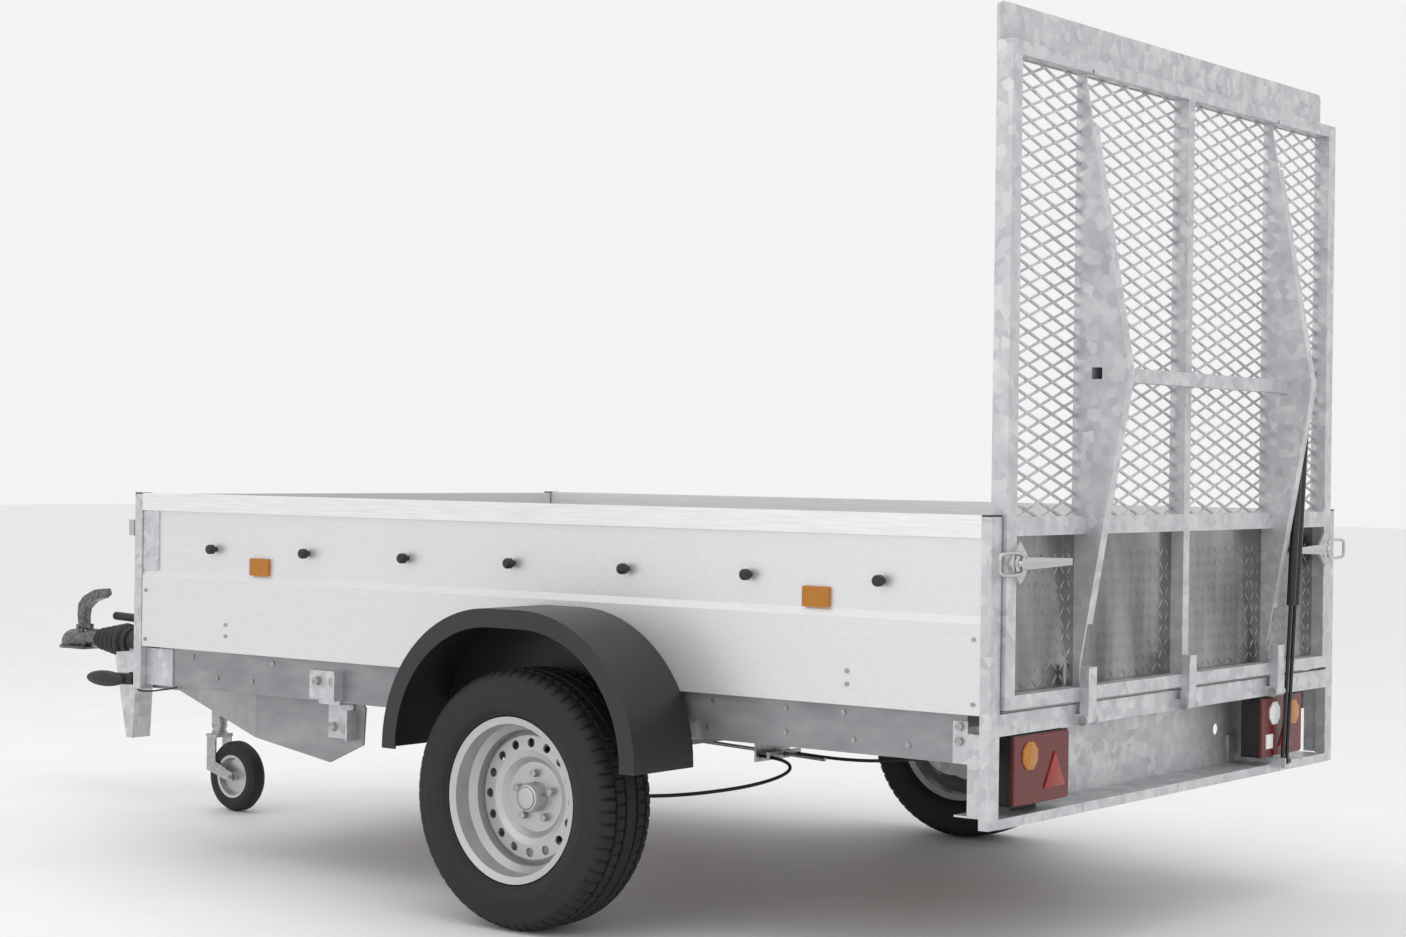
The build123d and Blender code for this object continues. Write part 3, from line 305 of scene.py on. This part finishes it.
def spun(places, centre, axis, steps, merge=1e-6):
    """A closed section, given as points in space, spun once round an axis."""
    shape = bmesh.new()
    loop = [shape.verts.new(place) for place in places]
    edges = [shape.edges.new((loop[k], loop[(k + 1) % len(loop)])) for k in range(len(loop))]
    bmesh.ops.spin(shape, geom=loop + edges, cent=centre, axis=axis, angle=2 * pi, steps=steps,
                   use_merge=True)
    bmesh.ops.remove_doubles(shape, verts=shape.verts[:], dist=merge)
    return shape


def ring(points, middle, steps):
    """A section of (sideways, radius) points spun round the axle."""
    places = [(AXLE.x, middle + side, AXLE.z + radius) for side, radius in points]
    return spun(places, (AXLE.x, middle, AXLE.z), (0, 1, 0), steps)


half_section = [(66, 182.5), (72, 196), (79, 199), (81, 204), (84.5, 206), (89, 214), (91.5, 228),
                (93, 238), (91.6, 241), (93, 250), (91.5, 262), (89, 273), (89.6, 277), (86, 286),
                (81, 292.5), (74, 298), (66, 301.5), (56, 303.8), (54.5, 303.8), (53, 296.5), (48, 296.5),
                (46.5, 304.6), (36, 305.2), (23.5, 305.7), (22, 298), (17, 298), (15.5, 305.9), (7, 306)]
crown = [(-side, radius) for side, radius in half_section] + half_section[::-1]
inside = [(52, 182.5), (60, 200), (82, 226), (80, 262), (62, 284), (0, 290)]
tyre_section = crown + inside + [(-side, radius) for side, radius in inside[-2::-1]]
tyre_section = [(side / 1000, radius / 1000) for side, radius in tyre_section]
cap_section = [(954.4, 33.6), (954.4, 36), (957, 36), (980, 34.6), (987, 31), (990.6, 24), (991.6, 12),
               (992, 0.3), (990.8, 0.3), (990.3, 12), (989.6, 23), (986, 29.6), (979, 33.6)]
PITCHES = 64
STEPS_PER_PITCH = 6
SHOULDER_CUT, CROWN_SIPE = 0.0055, 0.004
for side_name, sign in (("left", 1), ("right", -1)):
    tyre = ring(tyre_section, sign * WHEEL_MIDDLE, PITCHES * STEPS_PER_PITCH)
    for vert in tyre.verts:
        spoke = Vector((vert.co.x - AXLE.x, 0, vert.co.z - AXLE.z))
        across = abs(vert.co.y - sign * WHEEL_MIDDLE)
        turned = spoke.angle(Vector((0, 0, 1)), 0) * (1 if spoke.x >= 0 else -1)
        step = round(turned / (2 * pi) * PITCHES * STEPS_PER_PITCH)
        cut = step % STEPS_PER_PITCH == 0 and 0.05 < across < 0.084 and spoke.length > 0.29
        between_cuts = step % STEPS_PER_PITCH == STEPS_PER_PITCH // 2
        sipe = between_cuts and 0.02 < across < 0.047 and spoke.length > 0.3
        if cut or sipe:
            vert.co -= spoke.normalized() * (SHOULDER_CUT if cut else CROWN_SIPE)
    tyre_piece = new_piece(f"road_tyre_{side_name}", tyre, tread, f"wheel_{side_name}")
    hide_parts(f"tyre_{side_name}")
    cap = ring([(side / 1000 - WHEEL_MIDDLE, radius / 1000) for side, radius in cap_section],
               WHEEL_MIDDLE, 64)
    if sign < 0:
        bmesh.ops.scale(cap, vec=(1, -1, 1), verts=cap.verts[:])
    new_piece(f"hub_cap_{side_name}", cap, silver, f"wheel_{side_name}")

# ---- Painted shade in the wheel arches. A thin flat black wall, which model.glb doesn't have, stands against the body and closes the arch above each wheel, clear of the tyre, as a dark sheet where the arch is in shade.
SHADE_SHEET_RADIUS, SHADE_SHEET_STRETCH = 0.3415, 0.0515
for side_name, sign in (("left", 1), ("right", -1)):
    shade_sheet = bmesh.new()
    bmesh.ops.create_circle(shade_sheet, cap_ends=True, segments=96, radius=1,
                            matrix=Matrix.Translation((AXLE.x, sign * 0.8608, 0.407)) @
                            Matrix.Scale(SHADE_SHEET_RADIUS, 4) @ Matrix.Rotation(pi / 2, 4, "X"))
    for vert in shade_sheet.verts:
        vert.co.x += SHADE_SHEET_STRETCH if vert.co.x > AXLE.x else -SHADE_SHEET_STRETCH
    bmesh.ops.bisect_plane(shade_sheet, geom=shade_sheet.verts[:] + shade_sheet.edges[:] + shade_sheet.faces[:], dist=1e-6,
                           plane_co=(0, 0, 0.5), plane_no=(0, 0, -1), clear_outer=True)
    bmesh.ops.solidify(shade_sheet, geom=shade_sheet.faces[:], thickness=0.0015)
    new_piece(f"arch_shade_sheet_{side_name}", shade_sheet, moulding, "chassis")

# ---- Ramp mesh. Expanded steel sheet, slit and stretched into diamonds and welded in each bay. The
# strands rise and fall where the slits were pulled open.
DIAMOND = (0.104, 0.035)
STRAND = 0.0056
bays = [(-0.7755, -0.477), (-0.469, -0.0155), (0.0155, 0.469), (0.477, 0.7755)]
mesh_low, mesh_high, mesh_x = 0.988, 1.979, -2.0262
lattice = bmesh.new()
to_upright = Matrix(((0, 0, 1, 0), (1, 0, 0, 0), (0, 1, 0, 0), (0, 0, 0, 1)))
for low, high in bays:
    sheet = bmesh.new()
    columns = int((high - low) / DIAMOND[0]) + 2
    rows = int((mesh_high - mesh_low) / DIAMOND[1]) + 2
    for offset in (0, 0.5):
        for column in range(columns):
            for row in range(rows):
                centre = ((column + offset) * DIAMOND[0] + low, (row + offset) * DIAMOND[1] + mesh_low, 0)
                spread = Matrix.Translation(centre) @ Matrix.Diagonal((DIAMOND[0] / 2, DIAMOND[1] / 2, 1, 1))
                bmesh.ops.create_circle(sheet, cap_ends=True, segments=4, radius=1, matrix=spread)
    bmesh.ops.remove_doubles(sheet, verts=sheet.verts[:], dist=1e-5)
    holes = sheet.faces[:]
    bmesh.ops.inset_individual(sheet, faces=holes, thickness=STRAND / 2, use_even_offset=True)
    bmesh.ops.delete(sheet, geom=holes, context="FACES_ONLY")
    for edge_point, outward in (((low, 0, 0), (-1, 0, 0)), ((high, 0, 0), (1, 0, 0)),
                                ((0, mesh_low, 0), (0, -1, 0)), ((0, mesh_high, 0), (0, 1, 0))):
        bmesh.ops.bisect_plane(sheet, geom=sheet.verts[:] + sheet.edges[:] + sheet.faces[:], dist=1e-6,
                               plane_co=edge_point, plane_no=outward, clear_outer=True)
    for vert in sheet.verts:
        vert.co.z = 0.0018 * sin(2 * pi * (vert.co.y - mesh_low) / DIAMOND[1])
    bmesh.ops.solidify(sheet, geom=sheet.faces[:], thickness=0.0038)
    bmesh.ops.transform(sheet, matrix=Matrix.Translation((mesh_x, 0, 0)) @ to_upright, verts=sheet.verts[:])
    part = bpy.data.meshes.new("bay")
    sheet.to_mesh(part)
    sheet.free()
    lattice.from_mesh(part)
expanded = new_piece("expanded_mesh", lattice, zinc, "ramp", smooth=False)
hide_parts("ramp_mesh")

# ---- Ramp latches. Plated pressings: a stepped hub on a diamond plate, a tapered hand lever and a
# round wire bail that reaches over the rear post. Each turns about its hub.
LATCH_HEIGHT = 0.893
PLATE_Y, HUB_Y = 0.770, 0.772
LEVER_MIDDLE, LEVER_START, LEVER_LENGTH = 0.674, 0.579, 0.190
RIVET_REACH = 0.026
hub_section = [(0.0002, -2.0689), (0.026, -2.0689), (0.026, -2.0716), (0.022, -2.0732), (0.0155, -2.0740),
               (0.0145, -2.0800), (0.0115, -2.0828), (0.0002, -2.0838)]
bail_route = [(0.776, 0.914), (0.800, 0.917), (0.840, 0.917), (0.868, 0.914), (0.868, 0.893),
              (0.868, 0.872), (0.840, 0.869), (0.800, 0.869), (0.776, 0.872), (0.766, 0.893)]


def raise_face(shape, height, bevel, segments):
    """Pushes a flat face out backwards from its base and bevels the front edges."""
    pushed = bmesh.ops.extrude_face_region(shape, geom=shape.faces[:])
    front = [item for item in pushed["geom"] if isinstance(item, bmesh.types.BMVert)]
    bmesh.ops.translate(shape, vec=(-height, 0, 0), verts=front)
    rim_edges = [item for item in pushed["geom"] if isinstance(item, bmesh.types.BMEdge)]
    bmesh.ops.bevel(shape, geom=rim_edges, offset=bevel, offset_type="OFFSET", segments=segments,
                    profile=0.5, affect="EDGES", material=-1)


def round_wire(name, places, radius, resolution, made):
    """A wire of round section that follows a row of points."""
    line = bpy.data.curves.new(name, "CURVE")
    line.dimensions = "3D"
    line.bevel_depth = radius
    line.bevel_resolution = resolution
    spline = line.splines.new("NURBS")
    spline.points.add(len(places) - 1)
    for point, place in zip(spline.points, places):
        point.co = (*place, 1)
    spline.order_u = 3
    line.materials.append(made)
    piece = bpy.data.objects.new(name, line)
    scene.collection.objects.link(piece)
    return piece, spline


def latch_set(side_name, sign):
    body = f"ramp_latch_{side_name}"
    hub_y = sign * HUB_Y
    hub = spun([(x, hub_y, LATCH_HEIGHT + radius) for radius, x in hub_section],
               (-2.0672, hub_y, LATCH_HEIGHT), (1, 0, 0), 40, merge=1e-5)
    hub_piece = new_piece(f"latch_hub_{side_name}", hub, chrome, body)
    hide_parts(body)

    plate_shape = bmesh.new()
    seat = Matrix.Translation((-2.0666, sign * PLATE_Y, LATCH_HEIGHT)) @ Matrix.Rotation(-pi / 2, 4, "Y")
    bmesh.ops.create_circle(plate_shape, cap_ends=True, segments=4, radius=0.0455, matrix=seat)
    raise_face(plate_shape, 0.0022, 0.0018, 3)
    new_piece(f"latch_plate_{side_name}", plate_shape, chrome, "ramp")

    lever = bmesh.new()
    bmesh.ops.create_cube(lever, size=1,
                          matrix=Matrix.Translation((-2.0752, sign * LEVER_MIDDLE, LATCH_HEIGHT)) @
                          Matrix.Diagonal((0.008, LEVER_LENGTH, 0.026, 1)))
    long_edges = [edge for edge in lever.edges if abs(edge.verts[0].co.y - edge.verts[1].co.y) > 0.1]
    bmesh.ops.subdivide_edges(lever, edges=long_edges, cuts=6)
    for vert in lever.verts:
        along = (abs(vert.co.y) - LEVER_START) / LEVER_LENGTH
        vert.co.z = LATCH_HEIGHT + (vert.co.z - LATCH_HEIGHT) * (0.62 + 0.5 * along)
        vert.co.x -= 0.006 * (1 - along) ** 2
    corners = [edge for edge in lever.edges if edge.is_manifold and edge.calc_face_angle(0) > 0.8]
    bmesh.ops.bevel(lever, geom=corners, offset=0.0022, offset_type="OFFSET", segments=3, profile=0.5,
                    affect="EDGES", material=-1)
    new_piece(f"latch_lever_{side_name}", lever, chrome, body)

    rivet_shape = bmesh.new()
    for dy, dz in ((RIVET_REACH, 0), (-RIVET_REACH, 0), (0, RIVET_REACH), (0, -RIVET_REACH)):
        seat = (Matrix.Translation((-2.0668, sign * (PLATE_Y + dy), LATCH_HEIGHT + dz)) @
                Matrix.Diagonal((0.0028, 0.0045, 0.0045, 1)))
        bmesh.ops.create_uvsphere(rivet_shape, u_segments=12, v_segments=8, radius=1, matrix=seat)
    new_piece(f"latch_rivets_{side_name}", rivet_shape, chrome, "ramp")

    bail, loop = round_wire(f"latch_bail_{side_name}", [(-2.0755, sign * y, z) for y, z in bail_route],
                            0.0042, 4, chrome)
    loop.use_cyclic_u = True
    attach(bail, body)


latch_set("left", 1)
latch_set("right", -1)

# ---- Tread plates. Bright rolled aluminium in the lower bays, with short raised bars set crosswise.
bright_plate, bright_plate_shader, bright_plate_place = finish("tread_plate", grey(0.25), 1.0, 0.14)
# Painted reflection: long streaks of lighter and darker grey in the plates' colour stand in for reflections,
# and the plates are glossier where the streaks are lighter.
painted_reflection_and_gloss = pattern(bright_plate, bright_plate_place, "ShaderNodeTexNoise", 8, (1, 1, 0.3), 4.0)
tones(bright_plate, painted_reflection_and_gloss.outputs["Fac"], [(0.35, grey(0.13)), (0.65, grey(0.34))],
      bright_plate_shader.inputs["Base Color"])
tones(bright_plate, painted_reflection_and_gloss.outputs["Fac"], [(0.3, grey(0.26)), (0.7, grey(0.12))],
      bright_plate_shader.inputs["Roughness"])
dress(bright_plate, "ramp_plates")
BAR_PITCH = 0.03
BAR_MARGIN = 0.02
plate_low, plate_high = 0.6125, 0.9505
bars = bmesh.new()
for low, high in bays:
    across = int((high - low - BAR_MARGIN) / BAR_PITCH)
    upwards = int((plate_high - plate_low - BAR_MARGIN) / BAR_PITCH)
    for column in range(across):
        for row in range(upwards):
            way = 1 if (column + row) % 2 else -1
            place = Matrix.Translation((-2.0285, low + 0.018 + column * BAR_PITCH, 0.63 + row * BAR_PITCH))
            shape = Matrix.Rotation(way * radians(45), 4, "X") @ Matrix.Diagonal((0.0018, 0.0165, 0.0042, 1))
            bmesh.ops.create_uvsphere(bars, u_segments=6, v_segments=4, radius=1, matrix=place @ shape)
new_piece("tread_bars", bars, bright_plate, "ramp")

# ---- Tail lamps. Moulded lenses clipped in black boxes: a red field, an amber octagonal indicator and
# a triangular reflector on each, and two clear fields on the right lamp. A thin black frame runs round
# the edge of each lens, mostly sunk in it.
red, red_shader, red_place = finish("red_lens", (0.2, 0.01, 0.008), 0.0, 0.12)
prisms = pattern(red, red_place, "ShaderNodeTexVoronoi", 240)
tones(red, prisms.outputs["Distance"], [(0.0, (0.06, 0.003, 0.002)), (0.7, (0.15, 0.007, 0.005))],
      red_shader.inputs["Base Color"])
relief(red, prisms.outputs["Distance"], red_shader, 0.5, 0.001)
dress(red, "tail_lamp_lenses")
bright_red, bright_red_shader, bright_red_place = finish("reflector_red", (0.3, 0.012, 0.008), 0.0, 0.1)
corner_cubes = pattern(bright_red, bright_red_place, "ShaderNodeTexVoronoi", 420)
tones(bright_red, corner_cubes.outputs["Distance"], [(0.0, (0.14, 0.005, 0.004)), (0.7, (0.36, 0.02, 0.01))],
      bright_red_shader.inputs["Base Color"])
relief(bright_red, corner_cubes.outputs["Distance"], bright_red_shader, 0.6, 0.0008)
amber, amber_shader, amber_place = finish("amber_lens", (0.8, 0.3, 0.02), 0.0, 0.14)
amber_prisms = pattern(amber, amber_place, "ShaderNodeTexVoronoi", 300)
tones(amber, amber_prisms.outputs["Distance"], [(0.0, (0.3, 0.09, 0.004)), (0.7, (0.52, 0.2, 0.01))],
      amber_shader.inputs["Base Color"])
relief(amber, amber_prisms.outputs["Distance"], amber_shader, 0.5, 0.0008)
dress(amber, "side_reflectors")
clear, clear_shader, clear_place = finish("clear_lens", grey(0.8), 0.0, 0.1)
clear_prisms = pattern(clear, clear_place, "ShaderNodeTexVoronoi", 300)
tones(clear, clear_prisms.outputs["Distance"], [(0.0, grey(0.6)), (0.7, grey(0.92))],
      clear_shader.inputs["Base Color"])
relief(clear, clear_prisms.outputs["Distance"], clear_shader, 0.5, 0.0008)

LENS_FACE = -2.0565
FRAME_FACE = -2.0515


def lens_field(name, y, z, sides, radius, made, roll=0.0):
    """A many-sided field with a bevelled face that stands just out of a lens."""
    shape = bmesh.new()
    face_on = Matrix.Translation((LENS_FACE, y, z)) @ Matrix.Rotation(-pi / 2, 4, "Y")
    turned = face_on @ Matrix.Rotation(roll, 4, "Z")
    bmesh.ops.create_circle(shape, cap_ends=True, segments=sides, radius=radius, matrix=turned)
    raise_face(shape, 0.0035, 0.0022, 2)
    new_piece(name, shape, made, "chassis")


def lamp_bezel(name, y):
    """A black frame round the edge of a lens, with rounded edges."""
    shape = bmesh.new()
    face_on = (Matrix.Translation((FRAME_FACE, y, 0.448)) @ Matrix.Diagonal((1, 0.118, 0.076, 1)) @
               Matrix.Rotation(-pi / 2, 4, "Y"))
    bmesh.ops.create_grid(shape, x_segments=1, y_segments=1, size=1, matrix=face_on)
    opening = shape.faces[:]
    bmesh.ops.inset_region(shape, faces=opening, thickness=0.007, use_boundary=True)
    bmesh.ops.delete(shape, geom=opening, context="FACES_ONLY")
    bmesh.ops.solidify(shape, geom=shape.faces[:], thickness=0.0065)
    bmesh.ops.bevel(shape, geom=shape.edges[:], offset=0.0012, offset_type="OFFSET", segments=2, profile=0.5,
                    affect="EDGES", material=-1)
    new_piece(name, shape, moulding, "chassis")


lamp_bezel("lamp_bezel_left", 0.652)
lamp_bezel("lamp_bezel_right", -0.545)
lens_field("indicator_left", 0.704, 0.478, 8, 0.033, amber, pi / 8)
lens_field("reflector_left", 0.600, 0.428, 3, 0.052, bright_red, -pi / 2)
lens_field("indicator_right", -0.610, 0.478, 8, 0.033, amber, pi / 8)
lens_field("reversing_right", -0.500, 0.482, 8, 0.031, clear, pi / 8)
lens_field("fog_right", -0.470, 0.412, 4, 0.026, clear, pi / 4)
lens_field("reflector_right", -0.560, 0.415, 3, 0.040, bright_red, -pi / 2)

# ---- Bellows. A rubber gaiter with five folds that get smaller towards the coupling, clipped to the housing's collar and the coupling. The real gaiter folds up when the trailer runs up on the car; here it is one fixed shape on the chassis.
FOLDS, FOLD_PITCH = 5, 28.4
bellows_section = [(0.0, 28)]
for fold in range(FOLDS):
    crest = 58 - 5 * fold
    start = fold * FOLD_PITCH
    bellows_section += [(start + 1, crest - 15), (start + 5, crest - 5), (start + 10, crest - 0.6),
                        (start + 14, crest), (start + 18, crest - 0.8), (start + 23, crest - 6),
                        (start + 27, crest - 17)]
bellows_section.append((142, 28))
gaiter = spun([(1.8215 + along / 1000, 0, 0.483 + radius / 1000) for along, radius in bellows_section],
              (1.8215, 0, 0.483), (1, 0, 0), 56)
gaiter_piece = new_piece("rubber_bellows", gaiter, rubber, "chassis")
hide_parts("bellows")
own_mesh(gaiter_piece)

# ---- Cables. Sheathed brake cables run from the axle's abutment to each wheel and hang a little on the
# way. A thinner lead joins the marker lamp to the body.
DRAWING_MIDDLE = 2050.5
brake_route = [(1206, 60, 324), (1150, 60, 322), (1095, 82, 316), (1052, 128, 309), (1025, 188, 303),
               (1008, 252, 299), (998, 316, 296), (993, 380, 294), (994, 444, 292.5), (1000, 508, 292),
               (1011, 570, 291.5), (1028, 632, 292), (1050, 692, 294), (1076, 750, 298), (1098, 800, 304),
               (1110, 860, 308)]
lead_route = [(2785, 842, 455.2), (2783, 842, 447.5), (2765, 843, 445), (2738, 844, 446), (2708, 845, 449),
              (2678, 844.5, 454), (2648, 843, 458), (2618, 842, 464)]


def laid_cable(name, route, side, thickness):
    points = [((x - DRAWING_MIDDLE) / 1000, side * y / 1000, z / 1000) for x, y, z in route]
    piece, spline = round_wire(name, points, thickness / 2, 3, rubber)
    piece.data.use_fill_caps = True
    spline.use_endpoint_u = True
    spline.resolution_u = 8
    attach(piece, "chassis")
    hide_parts("cables")


laid_cable("brake_cable_left", brake_route, 1, 0.009)
laid_cable("brake_cable_right", brake_route, -1, 0.009)
laid_cable("marker_lead", lead_route, 1, 0.005)
